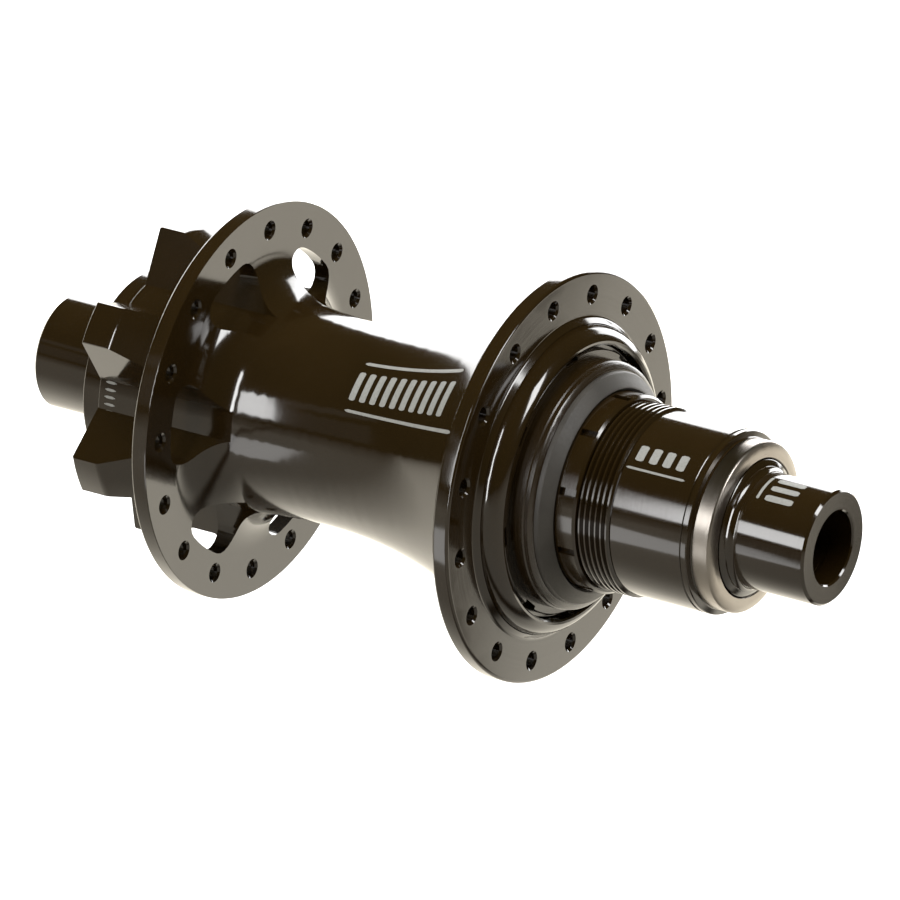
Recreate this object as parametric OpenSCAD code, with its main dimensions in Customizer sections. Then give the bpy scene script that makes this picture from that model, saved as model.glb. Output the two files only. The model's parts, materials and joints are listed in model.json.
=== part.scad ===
// Rear bicycle hub, 12 x 148 mm through axle, six-bolt disc mount, 32 spokes.
// Hub axis along Y. Disc side +Y, drive side -Y, origin midway between the end caps.

/* [Flanges] */
// radius of the disc-side flange
left_flange_r = 33.4; // [33:0.1:34.5]
// radius of the drive-side flange
right_flange_r = 34; // [33.5:0.1:35]
// spoke holes in each flange
spokes_per_side = 16; // [14, 16]
// diameter of a spoke hole
spoke_hole_d = 2.6; // [2.4:0.1:2.8]

/* [Shell] */
// radius at the thinnest place of the barrel
waist_r = 17; // [16.6:0.1:17.4]
// outer radius of the lightening pockets
pocket_out_r = 26.1; // [25.2:0.1:26.5]
// radius of a tapped rotor hole
rotor_hole_r = 2.1; // [2:0.05:2.3]

/* [End caps] */
// bore radius for the through axle
cap_bore_r = 6.05; // [6:0.05:6.15]
// outer radius of the end cap tubes
cap_r = 9.5; // [9.4:0.05:9.8]

/* [Driver] */
// turns of the cassette thread
thread_turns = 6; // [5:1:6]
// tool notches round the driver's foot
notch_count = 10; // [8:1:12]
// teeth inside the drive ring
ratchet_teeth = 36; // [36]

/* [Hidden] */
$fn = 96;
end_y = 74;
axle_end_y = 70;
axle_r = 8.5;
axle_bore_r = 6.25;
axle_mid_r = 9.8;
oring_y = 65;
// shell bearings: 17 x 30 x 7
lb_y = 55;
rb_y = -8.5;
// driver bearings: 17 x 26 x 5
ib_y = -26.5;
ob_y = -52.5;
left_in_y = 35.2;
left_out_y = 38;
right_in_y = -19.8;
right_out_y = -23.2;
left_pcr = 29.2;
right_pcr = 30.2;
left_phase = 1.5;
right_phase = -9.75;
rotor_y = 55.25;
rotor_pcr = 22;
tab_phase = 27.9;
tab_r = 26;
tab_tip_half = 3.5;
tab_spread = 0.331;
floor_r = 17.8;
pocket_corner = 3;
// the pockets in the flange web stand this far inside the walls between the tabs
web_step = 0.05;
blend_r = 8;
ring_r = 19.5;
crest_r = 16.2;
root_r = 17.4;
pawl_px = 14;
pawl_travel = 11;
pawl_dir = [0, 95, 180, 275];
ring_phase = 25.6;

black = [0.09, 0.085, 0.075];
black_satin = [0.12, 0.115, 0.105];
steel = [0.62, 0.62, 0.63];
dark_steel = [0.35, 0.34, 0.34];
rubber = [0.2, 0.19, 0.18];
cream = [0.75, 0.7, 0.55];

// points of an arc about [cx, cy] from angle a to angle b
function arc(cx, cy, r, a, b, n = 8) = [for (i = [0:n]) [cx + r * cos(a + (b - a) * i / n),
    cy + r * sin(a + (b - a) * i / n)]];
// unit vector
function unit(v) = v / norm(v);
// one corner p between a and b rounded to radius r with n steps
function corner(a, p, b, r, n) = let (
    u = unit(a - p),
    w = unit(b - p),
    half = acos(max(-1, min(1, u * w))) / 2,
    m = unit(u + w),
    c = p + m * r / sin(half),
    s = p + u * r / tan(half),
    e = p + w * r / tan(half),
    sa = atan2(s[1] - c[1], s[0] - c[0]),
    ea0 = atan2(e[1] - c[1], e[0] - c[0]),
    ea = ea0 - sa > 180 ? ea0 - 360 : (ea0 - sa < -180 ? ea0 + 360 : ea0))
    [for (i = [0:n]) [c[0] + r * cos(sa + (ea - sa) * i / n), c[1] + r * sin(sa + (ea - sa) * i / n)]];
// outline of [x, y, corner radius] points with its corners rounded
function rnd(p, n = 5) = [for (i = [0:len(p) - 1]) let (
    k = len(p),
    a = p[(i + k - 1) % k],
    q = p[i],
    b = p[(i + 1) % k])
    each (q[2] > 0 ? corner([a[0], a[1]], [q[0], q[1]], [b[0], b[1]], q[2], n) : [[q[0], q[1]]])];

// solid of revolution about the hub axis from [radius, y] points
module lathe(pts) {
  rotate([-90, 0, 0])
    rotate_extrude()
      polygon(pts);
}

// plain ring from radius ri to ro between y0 and y1, outer and inner edges eased by c
module ring(ri, ro, y0, y1, c = 0.15) {
  lathe([[ri, y0 + c], [ri + c, y0], [ro - c, y0], [ro, y0 + c],
      [ro, y1 - c], [ro - c, y1], [ri + c, y1], [ri, y1 - c]]);
}

// flat outline stood along the hub axis between y0 and y1
module prism(y0, y1) {
  translate([0, y0, 0])
    rotate([-90, 0, 0])
      linear_extrude(height = y1 - y0)
        children();
}

// children copied round the axis: n copies, the first at angle a
module around(n, a) {
  for (i = [0:n - 1])
    rotate([0, -a - i * 360 / n, 0])
      children();
}

// barrel radius at y
function barrel_r(y) = waist_r + 1.35 * pow(abs(y - 17.5) / 15.5, y > 17.5 ? 2 : 2.2);

// outer and inner outline of the shell
function shell_outline() = concat(
  rnd([[13.2, rb_y + 3.5, 0], [13.2, lb_y - 3.5, 0], [15, lb_y - 3.5, 0], [15, lb_y + 3.5, 0],
      [15.4, 59, 0], [17, 59, 0.4], [17, rotor_y, 0], [floor_r, rotor_y, 0.2],
      [floor_r, left_out_y, 0], [left_flange_r, left_out_y, 0.5], [left_flange_r, left_in_y, 0.5]]),
  arc(barrel_r(28) + blend_r * cos(6), left_in_y - blend_r, blend_r, 90, 174, 14),
  [for (i = [0:44]) let (y = 27.5 - i) [barrel_r(y), y]],
  arc(barrel_r(-16.5) + 3.3, right_in_y + 3.3, 3.3, 205, 270, 8),
  rnd([[right_flange_r, right_in_y, 0.6], [right_flange_r, right_out_y, 0.5], [26.6, right_out_y, 0.8],
      [25.7, right_out_y - 0.9, 0]]),
  arc(22.4, -23.9, 3.2, 0, -72, 8),
  rnd([[23, -26.9, 0], [22.7, -26.7, 0], [22.6, -24.9, 0.4], [20.7, -24.9, 0], [20.7, -24.1, 0],
      [ring_r, -24.1, 0], [ring_r, -13, 0], [16, -13, 0], [15.3, -12.3, 0], [15, -12, 0],
      [15, rb_y + 3.5, 0]], 3));

// flank of a rotor tab lying along +x, moved out by d: half width at distance u, and u at radius r
function flank_v(u, d = 0) = tab_tip_half + (tab_r - u) * tab_spread + d * sqrt(1 + tab_spread * tab_spread);
function flank_u(r, d = 0) = let (
    a = flank_v(0, d),
    k = 1 + tab_spread * tab_spread)
    (a * tab_spread + sqrt(k * r * r - a * a)) / k;

// star outline of the six rotor tabs
function star() = let (root_u = floor_r - 2.3)
    rnd([for (k = [0:5]) for (q = [[root_u, -flank_v(root_u), 0], [tab_r, -tab_tip_half, 0.7],
    [tab_r, tab_tip_half, 0.7], [root_u, flank_v(root_u), 0]]) let (a = k * 60)
    [q[0] * cos(a) - q[1] * sin(a), q[0] * sin(a) + q[1] * cos(a), q[2]]], 5);

// half outline of a pocket from its middle line at 30 degrees to the flank of the tab along +x
function half_pocket() = let (
    inner_u = flank_u(floor_r - 1, web_step),
    cr = pocket_out_r - pocket_corner,
    cu = flank_u(cr, pocket_corner + web_step),
    ca = acos(cu / cr))
    concat(
      [(floor_r - 1) * [cos(30), sin(30)], [inner_u, flank_v(inner_u, web_step)]],
      arc(cu, cr * sin(ca), pocket_corner, atan2(-1, -tab_spread), ca, 6),
      arc(0, 0, pocket_out_r, ca + (30 - ca) / 4, 30, 3));
// point mirrored about the middle line of the pocket
function across(p) = norm(p) * [cos(60 - atan2(p[1], p[0])), sin(60 - atan2(p[1], p[0]))];
// closed outline of a pocket
function pocket_outline() = let (h = half_pocket())
    concat(h, [for (i = [len(h) - 2:-1:1]) across(h[i])]);

module hub_shell() {
  boss_foot_r = 23.2;
  color(black)
    difference() {
      union() {
        lathe(shell_outline());
        // six rotor tabs
        intersection() {
          rotate([0, -tab_phase, 0])
            prism(left_out_y - 1, rotor_y)
              polygon(star());
          lathe(rnd([[16, left_out_y - 1, 0], [26.5, left_out_y - 1, 0], [26.5, left_out_y, 0],
              [boss_foot_r, left_out_y, 1.2], [boss_foot_r, 43.5, 3], [tab_r, 50.2, 3],
              [tab_r, rotor_y, 0.3], [16, rotor_y, 0]]));
        }
      }
      // lightening pockets between the rotor tabs, through the flange web
      around(6, tab_phase)
        difference() {
          prism(27, left_out_y + 0.5)
            polygon(pocket_outline());
          lathe([[0, 26], [floor_r + web_step, 26], [floor_r + web_step, 39], [0, 39]]);
        }
      // spoke holes, countersunk on both faces
      around(spokes_per_side, left_phase)
        spoke_hole(left_pcr, left_in_y, left_out_y);
      around(spokes_per_side, right_phase)
        spoke_hole(right_pcr, right_out_y, right_in_y);
      // tapped rotor holes
      around(6, tab_phase)
        translate([rotor_pcr, 0, 0])
          lathe([[0, 46], [rotor_hole_r, 47], [rotor_hole_r, rotor_y - 0.5],
              [rotor_hole_r + 0.5, rotor_y], [rotor_hole_r + 0.5, rotor_y + 1], [0, rotor_y + 1]]);
    }
}

// one spoke hole at radius pr between faces y0 and y1
module spoke_hole(pr, y0, y1) {
  h = spoke_hole_d / 2;
  translate([pr, 0, 0])
    lathe([[0, y0 - 1], [h + 0.35, y0 - 1], [h + 0.35, y0], [h, y0 + 0.35],
        [h, y1 - 0.35], [h + 0.35, y1], [h + 0.35, y1 + 1], [0, y1 + 1]]);
}

module drive_ring() {
  step = 360 / ratchet_teeth;
  color(dark_steel)
    difference() {
      ring(crest_r - 1.5, ring_r, -24, -13, 0.3);
      prism(-25, -12)
        polygon([for (i = [0:ratchet_teeth - 1]) for (q = [[root_r, 0], [crest_r, 0.02]])
            let (a = ring_phase + i * step + q[1]) [q[0] * cos(a), q[0] * sin(a)]]);
    }
}

module seal_carrier() {
  color(black_satin)
    difference() {
      lathe([[17.9, -24.1], [20.5, -24.1], [20.5, -24.9], [21.7, -24.9], [21.9, -25.1], [21.9, -25.9],
          [21.7, -26.1], [20.5, -26.1], [20.5, -28.6], [20.3, -28.8], [20.3, -29.5], [20.1, -29.7],
          [19.4, -30], [19.2, -30], [19.2, -25.6], [17.9, -25.6]]);
      // slots in the rim of the lower flange
      around(8, 12)
        translate([21.9, -25.6, 0])
          cube([1.6, 2.4, 3.4], center = true);
    }
}

module driver_seal() {
  color(rubber)
    lathe([[18, -25.6], [19.2, -25.6], [19.2, -30.4], [19, -30.8], [17.1, -32.1], [16.8, -32.2],
        [16.42, -31.8], [16.42, -31.3], [16.8, -31.1], [18, -30.1]]);
}

// thread ridges from y0 down, rings of one pitch each
function thread(y0, n, crest, root) = [for (i = [0:n - 1]) each [[root, y0 - i], [crest, y0 - i - 0.35],
    [crest, y0 - i - 0.6], [root, y0 - i - 0.95]]];

module driver_body() {
  color(black)
    difference() {
      lathe(concat(
        [[10.6, -13.4], [15.2, -13.4], [15.6, -13.8], [15.6, -22.4], [15.9, -22.6], [15.9, -30.8],
          [16.35, -31], [16.35, -35.3], [15.95, -35.7]],
        thread(-35.7, thread_turns, 15.6, 14.95),
        [[15.1, -35.8 - thread_turns], [15.1, -54.6], [14.9, -54.75], [14.9, -55], [15.1, -55.1],
          [15.1, -55.7], [15, -55.9], [14.15, -56.1], [13.95, -56.4], [13, -56.4],
          [13, -55.95], [13.5, -55.95], [13.5, -55.05], [13, -55.05], [13, -50], [13.1, -49.8], [13.1, -29.2], [13, -29], [13, -24], [10.6, -24]]));
      // tool notches
      around(notch_count, 23)
        translate([16.35, -33.9, 0])
          cube([1.8, 3, 1.3], center = true);
      // pawl pockets and their round sockets
      for (a = pawl_dir)
        rotate([0, a, 0])
          prism(-21.5, -14.5) {
            translate([pawl_px, 0])
              circle(r = 1.65);
            translate([pawl_px, 0])
              polygon([[0, 0], [3, -0.35], [3, 9.5], [-2, 7.4], [-2, 0.6]]);
          }
    }
}

module driver_end_ring() {
  color(dark_steel)
    lathe([[11.4, -56.2], [11.6, -56], [13, -56], [13, -56.4], [14.05, -56.4], [14.05, -59],
        [13.95, -59.2], [13.75, -59.35], [12.9, -59.6], [11.55, -59.65], [11.4, -59.5]]);
}

module driver_snap_ring() {
  color(steel)
    difference() {
      ring(11.9, 13.5, -55.95, -55.05, 0.05);
      translate([12.7, -55.5, 0])
        cube([3, 2, 4], center = true);
    }
}

// flat pawl outline about its own pivot, as it stands when engaged
function pawl_outline() = [[0, 0], [1.59, 0.1], [1.35, 4.2], [1.65, 6.77], [-0.37, 5.89], [-1.38, 0.8]];

module pawl(i) {
  color(steel)
    rotate([0, pawl_dir[i], 0])
      prism(-21.4, -14.6)
        translate([pawl_px, 0])
          rotate(pawl_travel) {
            circle(r = 1.6, $fn = 48);
            polygon(pawl_outline());
          }
}

module pawl_1() pawl(0);
module pawl_2() pawl(1);
module pawl_3() pawl(2);
module pawl_4() pawl(3);

module pawl_springs() {
  color(steel)
    for (a = pawl_dir)
      rotate([0, a, 0])
        prism(-19.5, -16.5)
          polygon([[12, 1.2], [12.2, 1.2], [12.44, 5], [12.44, 5.4], [12.3, 5.4], [12, 2.2]]);
}

module axle() {
  color(black_satin)
    lathe(concat(
      [[axle_bore_r, -axle_end_y], [axle_r - 0.4, -axle_end_y], [axle_r, -axle_end_y + 0.4]],
      [[axle_r, -oring_y - 0.75], [7.3, -oring_y - 0.75], [7.3, -oring_y + 0.75], [axle_r, -oring_y + 0.75]],
      [[axle_r, rb_y + 3.5], [axle_mid_r - 0.2, rb_y + 3.5], [axle_mid_r, rb_y + 3.7]],
      [[axle_mid_r, lb_y - 3.7], [axle_mid_r - 0.2, lb_y - 3.5], [axle_r, lb_y - 3.5]],
      [[axle_r, oring_y - 0.75], [7.3, oring_y - 0.75], [7.3, oring_y + 0.75], [axle_r, oring_y + 0.75]],
      [[axle_r, axle_end_y - 0.4], [axle_r - 0.4, axle_end_y], [axle_bore_r, axle_end_y]]));
}

module axle_spacer() {
  color(steel)
    ring(axle_r + 0.05, 10, ib_y + 2.5, rb_y - 3.5, 0.2);
}

module driver_spacer() {
  color(steel)
    ring(axle_r + 0.05, 10, ob_y + 2.5, ib_y - 2.5, 0.2);
}

module end_cap_left() {
  color(black)
    lathe([[8.55, lb_y + 3.5], [10.1, lb_y + 3.5], [10.3, lb_y + 3.7], [10.3, 59.9], [10, 60.2],
        [cap_r, 60.3], [cap_r, end_y - 0.4], [cap_r - 0.4, end_y], [cap_bore_r + 0.25, end_y],
        [cap_bore_r, end_y - 0.25], [cap_bore_r, axle_end_y], [8.55, axle_end_y]]);
}

module end_cap_right() {
  color(black)
    lathe([[8.55, ob_y - 2.5], [8.55, -axle_end_y], [cap_bore_r, -axle_end_y],
        [cap_bore_r, -end_y + 0.25], [cap_bore_r + 0.25, -end_y], [cap_r - 0.4, -end_y],
        [cap_r, -end_y + 0.4], [cap_r, -61.4], [cap_r + 0.1, -60.95], [cap_r + 0.35, -60.6],
        [cap_r + 0.7, -60.4], [cap_r + 0.75, -60.15], [11.05, -59.8], [11.2, -59.65], [11.2, -58],
        [11, -57.8], [10.1, -57.8], [10.1, ob_y - 2.5]]);
}

// rubber ring in an axle groove
module oring(y) {
  color(rubber)
    rotate([-90, 0, 0])
      translate([0, 0, y])
        rotate_extrude()
          translate([7.93, 0])
            circle(r = 0.6, $fn = 32);
}

module cap_oring_left() oring(oring_y);
module cap_oring_right() oring(-oring_y);

// ball bearing pieces: y centre, outer radius, width, pitch radius, ball radius, ball count
LB = [lb_y, 15, 7, 11.75, 2, 11];
RB = [rb_y, 15, 7, 11.75, 2, 11];
IB = [ib_y, 13, 5, 10.75, 1.2, 16];
OB = [ob_y, 13, 5, 10.75, 1.2, 16];

// ball track of a bearing
module track(b) {
  translate([0, b[0], 0])
    rotate([-90, 0, 0])
      rotate_extrude()
        translate([b[3], 0])
          circle(r = b[4] + 0.05, $fn = 48);
}

module outer_race(b) {
  color(steel)
    difference() {
      ring(b[3] + b[4] * 0.68, b[1], b[0] - b[2] / 2, b[0] + b[2] / 2, 0.25);
      track(b);
    }
}

module inner_race(b) {
  color(steel)
    difference() {
      ring(axle_r + 0.01, b[3] - b[4] * 0.68, b[0] - b[2] / 2, b[0] + b[2] / 2, 0.25);
      track(b);
    }
}

module balls(b) {
  color(steel)
    around(b[5], 0)
      translate([b[3], b[0], 0])
        sphere(r = b[4], $fn = 32);
}

module cage(b) {
  color(cream)
    difference() {
      ring(b[3] - b[4] * 0.32, b[3] + b[4] * 0.38, b[0] - b[4] * 1.22, b[0] + b[4] * 1.22, 0.05);
      around(b[5], 0)
        translate([b[3], b[0], 0])
          rotate([0, 90, 0])
            cylinder(r = b[4] + 0.07, h = b[4] * 2, center = true, $fn = 32);
    }
}

module seals(b) {
  color(rubber)
    for (s = [-1, 1])
      ring(b[3] - b[4] * 0.68 + 0.06, b[3] + b[4] * 0.68,
          b[0] + s * (b[2] / 2 - 0.5) - 0.22, b[0] + s * (b[2] / 2 - 0.5) + 0.22, 0.04);
}

module lb_outer_race() outer_race(LB);
module lb_inner_race() inner_race(LB);
module lb_balls() balls(LB);
module lb_cage() cage(LB);
module lb_seals() seals(LB);
module rb_outer_race() outer_race(RB);
module rb_inner_race() inner_race(RB);
module rb_balls() balls(RB);
module rb_cage() cage(RB);
module rb_seals() seals(RB);
module ib_outer_race() outer_race(IB);
module ib_inner_race() inner_race(IB);
module ib_balls() balls(IB);
module ib_cage() cage(IB);
module ib_seals() seals(IB);
module ob_outer_race() outer_race(OB);
module ob_inner_race() inner_race(OB);
module ob_balls() balls(OB);
module ob_cage() cage(OB);
module ob_seals() seals(OB);

hub_shell();
drive_ring();
seal_carrier();
driver_seal();
driver_body();
driver_end_ring();
driver_snap_ring();
pawl_1();
pawl_2();
pawl_3();
pawl_4();
pawl_springs();
axle();
axle_spacer();
driver_spacer();
end_cap_left();
end_cap_right();
cap_oring_left();
cap_oring_right();
lb_outer_race();
lb_inner_race();
lb_balls();
lb_cage();
lb_seals();
rb_outer_race();
rb_inner_race();
rb_balls();
rb_cage();
rb_seals();
ib_outer_race();
ib_inner_race();
ib_balls();
ib_cage();
ib_seals();
ob_outer_race();
ob_inner_race();
ob_balls();
ob_cage();
ob_seals();
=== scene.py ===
"""Looks for the rear bicycle hub: camera, materials, printed marks and studio."""
import json
import math

import bmesh
import bpy
from mathutils import Matrix, Vector


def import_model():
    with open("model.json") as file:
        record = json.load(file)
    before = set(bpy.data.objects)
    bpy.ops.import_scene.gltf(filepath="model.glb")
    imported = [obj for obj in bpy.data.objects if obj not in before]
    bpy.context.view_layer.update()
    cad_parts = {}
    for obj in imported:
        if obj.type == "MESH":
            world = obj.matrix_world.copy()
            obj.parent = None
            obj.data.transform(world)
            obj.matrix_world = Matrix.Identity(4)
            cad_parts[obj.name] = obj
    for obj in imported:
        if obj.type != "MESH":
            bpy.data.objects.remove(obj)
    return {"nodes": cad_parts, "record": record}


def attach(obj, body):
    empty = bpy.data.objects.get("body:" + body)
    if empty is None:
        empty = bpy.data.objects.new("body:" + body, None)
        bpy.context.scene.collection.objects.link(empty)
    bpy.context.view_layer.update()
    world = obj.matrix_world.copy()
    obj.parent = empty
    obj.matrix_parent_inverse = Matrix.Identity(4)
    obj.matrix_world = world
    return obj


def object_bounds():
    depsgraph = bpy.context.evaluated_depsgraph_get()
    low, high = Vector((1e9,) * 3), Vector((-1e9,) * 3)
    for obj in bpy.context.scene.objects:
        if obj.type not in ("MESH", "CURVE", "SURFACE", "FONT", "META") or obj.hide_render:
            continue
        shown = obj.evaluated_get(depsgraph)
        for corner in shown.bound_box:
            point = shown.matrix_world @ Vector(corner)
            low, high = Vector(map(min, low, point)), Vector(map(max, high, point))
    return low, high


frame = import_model()
CAD_LO, CAD_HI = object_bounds()
NODES = frame["nodes"]
MM = 0.001


def put_in_scene(name, data):
    """New object made from a mesh, lamp or camera, linked to the scene."""
    obj = bpy.data.objects.new(name, data)
    bpy.context.collection.objects.link(obj)
    return obj


# ---------------------------------------------------------------- camera
# degrees, from the fit of the photograph: azimuth 0 looks along +Y, towards the disc side
CAM_AZIMUTH, CAM_ELEVATION, CAM_ROLL = -58.53, 17.19, 4.21
# metres: distance from the hub's middle, how far the view's middle is off it, and clipping
CAM_DISTANCE = 1.5564
CAM_RIGHT, CAM_UP = 0.001475, -0.000505
CAM_NEAR, CAM_FAR = 0.05, 20.0
# millimetres
CAM_LENS, CAM_SENSOR = 384.3, 36.0


def photo_camera():
    """Set up the camera; give back the directions towards it, to its right and up."""
    a, e, roll = (math.radians(v) for v in (CAM_AZIMUTH, CAM_ELEVATION, CAM_ROLL))
    back = Vector((math.sin(a) * math.cos(e), -math.cos(a) * math.cos(e), math.sin(e)))
    right = Vector((math.cos(a), math.sin(a), 0.0))
    up = back.cross(right)
    right, up = (
        right * math.cos(roll) + up * math.sin(roll),
        up * math.cos(roll) - right * math.sin(roll),
    )
    data = bpy.data.cameras.new("camera")
    data.lens = CAM_LENS
    data.sensor_width = CAM_SENSOR
    data.clip_start, data.clip_end = CAM_NEAR, CAM_FAR
    cam = put_in_scene("camera", data)
    turn = Matrix((right, up, back)).transposed().to_4x4()
    turn.translation = back * CAM_DISTANCE + right * CAM_RIGHT + up * CAM_UP
    cam.matrix_world = turn
    bpy.context.scene.camera = cam
    return back, right, up


BACK, RIGHT, UP = photo_camera()


# ---------------------------------------------------------------- materials
# most values of a noise texture lie between these two
NOISE_LOW, NOISE_HIGH = 0.3, 0.7
# how far a turned part's gloss follows its turning marks, and how far a broad cloud
MARKS_SHARE, CLOUD_SHARE = 0.6, 0.4
# depth of the bump in metres
MARK_DEPTH, GRAIN_DEPTH = 0.00002, 0.00004
# patches of slightly different colour, as noise scales
METAL_CLOUD, OXIDE_CLOUD, MOULDED_CLOUD = 90.0, 70.0, 160.0
OXIDE_IOR = 1.75
OXIDE_SHADE = 0.8


class Nodes:
    """A material's node tree, with short calls for the nodes used here."""

    def __init__(self, name):
        self.mat = bpy.data.materials.new(name)
        self.mat.use_nodes = True
        self.tree = self.mat.node_tree
        self.shader = self.tree.nodes["Principled BSDF"]
        self.place = self.add("ShaderNodeTexCoord").outputs["Object"]

    def add(self, kind, **facts):
        node = self.tree.nodes.new(kind)
        for key, value in facts.items():
            setattr(node, key, value)
        return node

    def link(self, a, b):
        self.tree.links.new(a, b)

    def drive(self, **outputs):
        """Link outputs to the shader's sockets, by name."""
        for key, output in outputs.items():
            self.link(output, self.shader.inputs[key.replace("_", " ")])

    def math(self, operation, a, b=None):
        node = self.add("ShaderNodeMath", operation=operation)
        for socket, value in zip(node.inputs, (a, b)):
            if value is None:
                continue
            if isinstance(value, (int, float)):
                socket.default_value = value
            else:
                self.link(value, socket)
        return node.outputs[0]

    def noise(self, vector, scale, detail=3.0, rough=0.5):
        node = self.add("ShaderNodeTexNoise")
        node.inputs["Scale"].default_value = scale
        node.inputs["Detail"].default_value = detail
        node.inputs["Roughness"].default_value = rough
        self.link(vector, node.inputs["Vector"])
        return node.outputs["Fac"]

    def split(self):
        """The place's three coordinates."""
        node = self.add("ShaderNodeSeparateXYZ")
        self.link(self.place, node.inputs[0])
        return node.outputs

    def turned(self):
        """Coordinates that vary only with radius and place along the axle, as lathe marks do."""
        x, y, z = self.split()
        squares = self.math("ADD", self.math("MULTIPLY", x, x), self.math("MULTIPLY", z, z))
        join = self.add("ShaderNodeCombineXYZ")
        self.link(self.math("SQRT", squares), join.inputs[0])
        self.link(y, join.inputs[1])
        return join.outputs[0]

    def ramp(self, fac, low, high, start=NOISE_LOW, end=NOISE_HIGH):
        """Colour that goes from low to high."""
        node = self.add("ShaderNodeValToRGB")
        node.color_ramp.elements[0].position = start
        node.color_ramp.elements[1].position = end
        node.color_ramp.elements[0].color = (*low, 1.0)
        node.color_ramp.elements[1].color = (*high, 1.0)
        self.link(fac, node.inputs[0])
        return node.outputs["Color"]

    def spread(self, fac, low, high, start=NOISE_LOW, end=NOISE_HIGH, **facts):
        """Number that goes from low to high."""
        node = self.add("ShaderNodeMapRange", **facts)
        node.inputs["From Min"].default_value = start
        node.inputs["From Max"].default_value = end
        node.inputs["To Min"].default_value = low
        node.inputs["To Max"].default_value = high
        self.link(fac, node.inputs["Value"])
        return node.outputs["Result"]

    def bump(self, height, strength, distance=MARK_DEPTH):
        node = self.add("ShaderNodeBump")
        node.inputs["Strength"].default_value = strength
        node.inputs["Distance"].default_value = distance
        self.link(height, node.inputs["Height"])
        self.drive(Normal=node.outputs[0])

    def set(self, **values):
        for key, value in values.items():
            self.shader.inputs[key.replace("_", " ")].default_value = value


def turning_marks(n, cloud, rough, marks, strength):
    """Fine turning marks as bump; the gloss varies with them and with the cloud."""
    lathe = n.noise(n.turned(), marks, detail=4.0, rough=0.6)
    mix = n.math("ADD", n.math("MULTIPLY", lathe, MARKS_SHARE),
                 n.math("MULTIPLY", cloud, CLOUD_SHARE))
    n.drive(Roughness=n.spread(mix, *rough))
    n.bump(lathe, strength)


def turned_metal(name, low, high, rough, marks, strength):
    """Machined bare metal, its colour between low and high."""
    n = Nodes(name)
    n.set(Metallic=1.0)
    cloud = n.noise(n.place, METAL_CLOUD)
    n.drive(Base_Color=n.ramp(cloud, low, high))
    turning_marks(n, cloud, rough, marks, strength)
    return n.mat


def anodised(name, tint, rough, marks, strength):
    """Dyed anodised aluminium: dark dye under a clear hard oxide skin."""
    n = Nodes(name)
    n.set(Metallic=0.0, IOR=OXIDE_IOR)
    cloud = n.noise(n.place, OXIDE_CLOUD)
    n.drive(Base_Color=n.ramp(cloud, tuple(OXIDE_SHADE * c for c in tint), tint))
    turning_marks(n, cloud, rough, marks, strength)
    return n.mat


def moulded(name, low, high, rough, grain, strength):
    """Rubber or plastic: a fine moulded grain and a slight change of colour."""
    n = Nodes(name)
    fine = n.noise(n.place, grain, detail=4.0, rough=0.7)
    n.drive(Base_Color=n.ramp(n.noise(n.place, MOULDED_CLOUD), low, high),
            Roughness=n.spread(fine, *rough))
    n.bump(fine, strength, GRAIN_DEPTH)
    return n.mat


BLACK_DYE = (0.0155, 0.0087, 0.0024)
# by the record's material slots: colours, range of roughness, scale of the marks or grain, bump
MATERIALS = {
    "anodised_gloss": anodised("black_anodised_gloss", BLACK_DYE, (0.07, 0.13), 5200.0, 0.05),
    "anodised_satin": anodised("black_anodised_satin", BLACK_DYE, (0.2, 0.3), 5200.0, 0.1),
    "gunmetal_ring": turned_metal(
        "gunmetal_polished", (0.33, 0.3, 0.27), (0.4, 0.37, 0.335), (0.26, 0.36), 7000.0, 0.15),
    "ratchet_steel": turned_metal(
        "ratchet_steel", (0.3, 0.29, 0.28), (0.38, 0.37, 0.36), (0.28, 0.4), 6000.0, 0.2),
    "plain_steel": turned_metal(
        "plain_steel", (0.5, 0.5, 0.5), (0.6, 0.6, 0.6), (0.26, 0.36), 6000.0, 0.2),
    "bearing_steel": turned_metal(
        "bearing_steel", (0.6, 0.6, 0.61), (0.68, 0.68, 0.69), (0.1, 0.18), 6000.0, 0.1),
    "seal_rubber": moulded(
        "seal_rubber", (0.03, 0.027, 0.023), (0.045, 0.041, 0.035), (0.45, 0.6), 3200.0, 0.35),
    "bearing_seal": moulded(
        "bearing_seal", (0.012, 0.012, 0.012), (0.02, 0.02, 0.02), (0.42, 0.56), 2600.0, 0.3),
    "cage_plastic": moulded(
        "cage_plastic", (0.52, 0.47, 0.35), (0.62, 0.57, 0.44), (0.4, 0.55), 2600.0, 0.25),
}

# edges bent by more than this stay sharp
SHARP_DEG = 26.0
WELD_GAP = 1e-7
FACE_WEIGHT = 80


def paint_cad_nodes():
    """Give each CAD node the material of its slot in the record."""
    slots = {s["node"]: s["material_slot"] for s in frame["record"]["subparts"]}
    for name, obj in NODES.items():
        obj.data.materials.clear()
        obj.data.materials.append(MATERIALS[slots[name]])


def smooth_cad_nodes():
    """Shade each part's turned surfaces without bands: faces joined, sharp edges kept."""
    for obj in NODES.values():
        obj.modifiers.new("weld", "WELD").merge_threshold = WELD_GAP
        obj.modifiers.new("sharp_edges", "EDGE_SPLIT").split_angle = math.radians(SHARP_DEG)
        obj.modifiers.new("face_weight", "WEIGHTED_NORMAL").weight = FACE_WEIGHT


paint_cad_nodes()
smooth_cad_nodes()


# ---------------------------------------------------------------- printed marks
# sizes here are millimetres. The surfaces that carry ink, as in part.scad: the barrel's waist and
# how it rises from there, then the driver, the right end cap and the disc-side core
WAIST_R, WAIST_Y, FLARE_RISE, FLARE_RUN = 17.0, 17.5, 1.35, 15.5
DISC_SIDE_POWER, DRIVE_SIDE_POWER = 2.0, 2.2
DRIVER_R, CAP_R, CORE_R = 15.1, 9.5, 17.8
# how far the film's outer face stands off the metal, and the film's thickness
INK_LIFT, INK_DEPTH = 0.03, 0.02
INK_GRAIN = 2600.0
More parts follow.
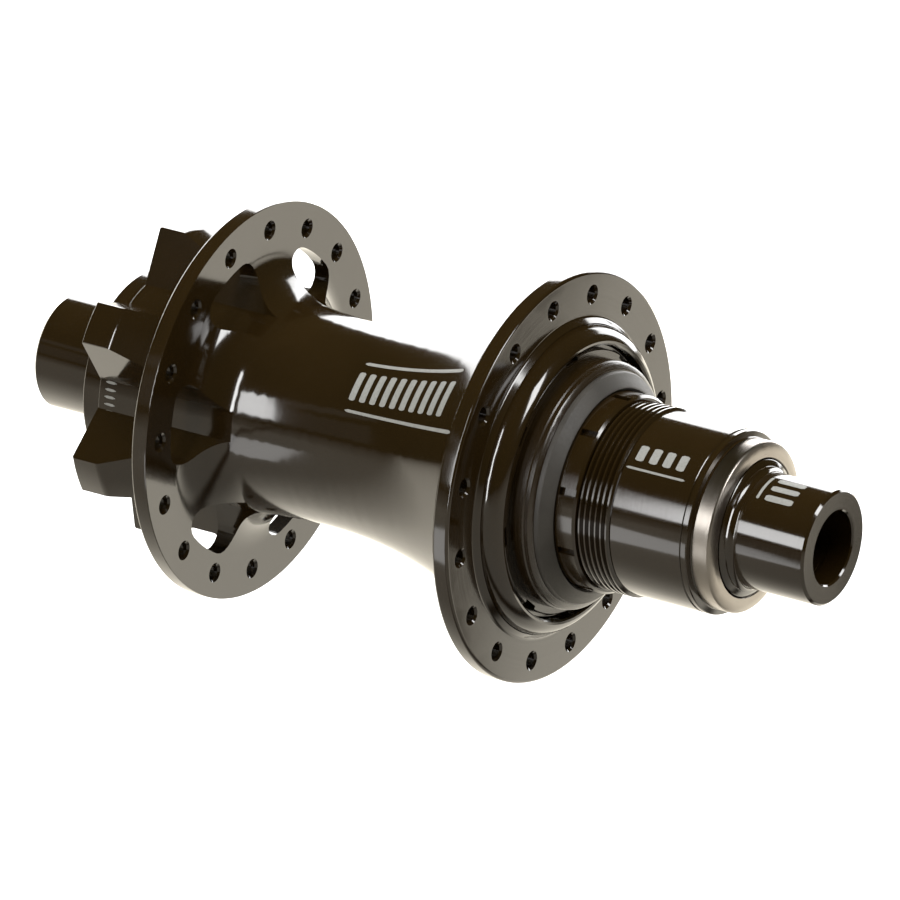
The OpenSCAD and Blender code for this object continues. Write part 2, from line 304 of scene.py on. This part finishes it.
# size of the film's faces along and round the axle, and the fewest of them
STEP_Y, STEP_DEG, FEWEST_STEPS = 0.5, 1.5, 4
# a patch's corners are cut by this much, or by this share of a narrow patch
CORNER_CUT, CORNER_SHARE = 0.2, 0.3


def barrel_radius(y):
    power = DISC_SIDE_POWER if y > WAIST_Y else DRIVE_SIDE_POWER
    return WAIST_R + FLARE_RISE * (abs(y - WAIST_Y) / FLARE_RUN) ** power


def ink_patch(bm, radius, y0, y1, deg0, deg1):
    """Thin closed film on a turned surface, from y0 to y1 and between two angles, corners cut."""
    rows = max(FEWEST_STEPS, round((y1 - y0) / STEP_Y))
    cols = max(FEWEST_STEPS, round((deg1 - deg0) / STEP_DEG))
    cut = min(CORNER_CUT, CORNER_SHARE * (y1 - y0))

    def vertex(i, j, depth):
        y = y0 + (y1 - y0) * i / rows
        inset = math.degrees(max(0.0, cut - min(y - y0, y1 - y)) / radius(y))
        angle = math.radians(deg0 + inset + (deg1 - deg0 - 2 * inset) * j / cols)
        r = (radius(y) + INK_LIFT - depth) * MM
        return bm.verts.new((r * math.cos(angle), y * MM, r * math.sin(angle)))

    top, low = (
        [[vertex(i, j, depth) for j in range(cols + 1)] for i in range(rows + 1)]
        for depth in (0.0, INK_DEPTH)
    )
    for i in range(rows):
        for j in range(cols):
            bm.faces.new((top[i][j], top[i][j + 1], top[i + 1][j + 1], top[i + 1][j]))
            bm.faces.new((low[i][j], low[i + 1][j], low[i + 1][j + 1], low[i][j + 1]))
    rim = ([(0, j) for j in range(cols)] + [(i, cols) for i in range(rows)]
           + [(rows, j) for j in range(cols, 0, -1)] + [(i, 0) for i in range(rows, 0, -1)])
    for (i, j), (k, m) in zip(rim, rim[1:] + rim[:1]):
        bm.faces.new((top[i][j], low[i][j], low[k][m], top[k][m]))


def ink_material():
    """Pale laser mark: a dull grey film, a little uneven."""
    n = Nodes("pale_mark")
    fine = n.noise(n.place, INK_GRAIN, rough=0.7)
    n.drive(Base_Color=n.ramp(fine, (0.2, 0.2, 0.185), (0.27, 0.27, 0.25)),
            Roughness=n.spread(fine, 0.5, 0.65))
    n.bump(fine, 0.1)
    return n.mat


INK = ink_material()


def printed(name, body, radius, patches):
    """One piece made of ink patches, which rides on a body."""
    bm = bmesh.new()
    for patch in patches:
        ink_patch(bm, radius, *patch)
    bmesh.ops.recalc_face_normals(bm, faces=bm.faces)
    mesh = bpy.data.meshes.new(name)
    bm.to_mesh(mesh)
    bm.free()
    mesh.materials.append(INK)
    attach(put_in_scene(name, mesh), body)


def row_along(first_y, count, pitch, width, deg0, deg1):
    """Equal bars side by side along the axle."""
    starts = (first_y + i * pitch for i in range(count))
    return [(y, y + width, deg0, deg1) for y in starts]


def row_round(y0, y1, starts, width_deg):
    """Equal bars side by side round the axle."""
    return [(y0, y1, deg, deg + width_deg) for deg in starts]


# a patch is from and to along the axle, then from and to round it in degrees from +X towards +Z
printed("mark_barrel", "shell", barrel_radius,
        row_along(-11.0, 10, 2.1, 1.2, 131.0, 148.0)
        + [(-11.0, 9.1, 124.0, 126.0), (-14.5, 9.1, 153.0, 154.6)])
printed("mark_driver", "driver", lambda y: DRIVER_R,
        row_along(-52.0, 4, 2.5, 1.5, 127.0, 138.0) + [(-53.0, -42.0, 142.5, 144.0)])
printed("mark_cap", "right_cap", lambda y: CAP_R,
        row_round(-69.2, -64.2, (98.0, 111.0, 124.0), 7.0) + [(-63.2, -62.7, 98.0, 131.0)])
printed("mark_ticks", "shell", lambda y: CORE_R,
        row_round(51.9, 54.1, range(166, 196, 4), 1.4))


# ---------------------------------------------------------------- studio
# lengths in metres, lamps in watts
DARK_ROOM = (0.048, 0.038, 0.017)
WHITE_STRENGTH = 1.1
FLOOR_DROP, FLOOR_HALF = 0.12, 3.0
PAPER_LOW, PAPER_HIGH, PAPER_ROUGH, PAPER_FIBRES = 0.9, 0.93, 0.9, 40.0
# what the hub mirrors of the floor is painted light and shade. The painted light gets brighter
# away from the camera, from FAR_START to FAR_END along x + FAR_SLOPE * y; a painted shadow darkens
# a band about BAND_SLOPE * x + y = -BAND_SHIFT, which the faces on the drive side mirror
PAINTED_MIRRORED_LIGHT = (0.8, 0.75, 0.64)
FAR_SLOPE, FAR_START, FAR_END, FAR_LOW, FAR_HIGH = 0.6, -0.06, 0.16, 0.2, 0.92
BAND_SLOPE, BAND_SHIFT = 0.532, 0.078
BAND_START, BAND_END, BAND_LOW, BAND_HIGH = 0.004, 0.034, 0.1, 1.25


def mix_by_ray(tree, seen_mirrored, seen_direct, target):
    """One shader for the camera, another for every other ray."""
    rays = tree.nodes.new("ShaderNodeLightPath")
    mix = tree.nodes.new("ShaderNodeMixShader")
    tree.links.new(rays.outputs["Is Camera Ray"], mix.inputs[0])
    tree.links.new(seen_mirrored, mix.inputs[1])
    tree.links.new(seen_direct, mix.inputs[2])
    tree.links.new(mix.outputs[0], target)


def world():
    """White to the camera, and a dark room to everything else."""
    w = bpy.data.worlds.new("studio")
    bpy.context.scene.world = w
    w.use_nodes = True
    tree = w.node_tree
    room = tree.nodes["Background"]
    room.inputs["Color"].default_value = (*DARK_ROOM, 1.0)
    white = tree.nodes.new("ShaderNodeBackground")
    white.inputs["Color"].default_value = (1.0, 1.0, 1.0, 1.0)
    white.inputs["Strength"].default_value = WHITE_STRENGTH
    mix_by_ray(tree, room.outputs[0], white.outputs[0],
               tree.nodes["World Output"].inputs["Surface"])


def floor():
    """Pale floor well below the hub, with its own darker look for what the hub mirrors: painted
    light and a painted shadow band.
    """
    drop = CAD_LO.z - FLOOR_DROP
    corners = ((-1, -1), (1, -1), (1, 1), (-1, 1))
    mesh = bpy.data.meshes.new("floor")
    mesh.from_pydata([(x * FLOOR_HALF, y * FLOOR_HALF, drop) for x, y in corners],
                     [], [(0, 1, 2, 3)])
    n = Nodes("floor_paper_and_painted_light")
    n.drive(Base_Color=n.ramp(n.noise(n.place, PAPER_FIBRES), (PAPER_LOW,) * 3, (PAPER_HIGH,) * 3))
    n.set(Roughness=PAPER_ROUGH)
    x, y, _ = n.split()
    # painted light: what the hub mirrors of the floor grows brighter away from the camera
    away = n.math("ADD", x, n.math("MULTIPLY", y, FAR_SLOPE))
    painted_far_light = n.spread(away, FAR_LOW, FAR_HIGH, FAR_START, FAR_END,
                        interpolation_type="SMOOTHSTEP")
    # painted shadow: a dark band in what the hub mirrors of the floor
    lean = n.math("ADD", n.math("MULTIPLY", x, BAND_SLOPE), y)
    off_band = n.math("ABSOLUTE", n.math("ADD", lean, BAND_SHIFT))
    outside_painted_shadow = n.spread(off_band, BAND_LOW, BAND_HIGH, BAND_START, BAND_END,
                           interpolation_type="SMOOTHSTEP")
    share = n.math("MULTIPLY", painted_far_light, outside_painted_shadow)
    # the floor as the hub mirrors it is painted light and shadow, not the paper's own colour
    mirrored = n.add("ShaderNodeBsdfDiffuse")
    n.link(n.ramp(share, (0.0, 0.0, 0.0), PAINTED_MIRRORED_LIGHT, start=0.0, end=1.0),
           mirrored.inputs["Color"])
    mix_by_ray(n.tree, mirrored.outputs[0], n.shader.outputs[0],
               n.tree.nodes["Material Output"].inputs["Surface"])
    mesh.materials.append(n.mat)
    put_in_scene("floor", mesh)


def softbox(name, place, size, power, mirrored=True):
    """Rectangular lamp aimed at the hub; with mirrored off, glossy surfaces don't show it."""
    data = bpy.data.lights.new(name, "AREA")
    data.shape = "RECTANGLE"
    data.size, data.size_y = size
    data.energy = power
    lamp = put_in_scene(name, data)
    lamp.location = place
    lamp.rotation_mode = "QUATERNION"
    lamp.rotation_quaternion = (-Vector(place)).to_track_quat("-Z", "Y")
    lamp.visible_glossy = mirrored


bpy.context.scene.view_settings.view_transform = "Standard"
world()
# general light from above, a big box behind the hub and a small one to the camera's right
softbox("top_box", (0.0, 0.0, 2.2), (3.4, 3.4), 125.0, mirrored=False)
softbox("back_box", (1.1, 0.675, 0.31), (2.6, 0.8), 42.0)
softbox("right_box", BACK * 0.5 + RIGHT * 0.9 + UP * 0.35, (0.3, 0.5), 5.0)
# a narrow strip over a dim one, mirrored along the tubes, and two windows mirrored in the flare
softbox("tube_strip", (-0.92, 0.6, 0.44), (0.9, 0.1), 0.03)
softbox("tube_haze", (-1.02, 0.6, 0.17), (0.9, 0.3), 0.06)
softbox("flare_window", (-0.86, 0.31, 0.21), (0.22, 0.34), 1.7)
softbox("low_window", (-0.208, 0.097, -0.122), (0.09, 0.08), 0.04)
# a tall strip to the left of the camera draws the bright lines along rounded edges
softbox("edge_strip", (-1.0, 0.03, 0.25), (0.12, 1.1), 5.0)
floor()
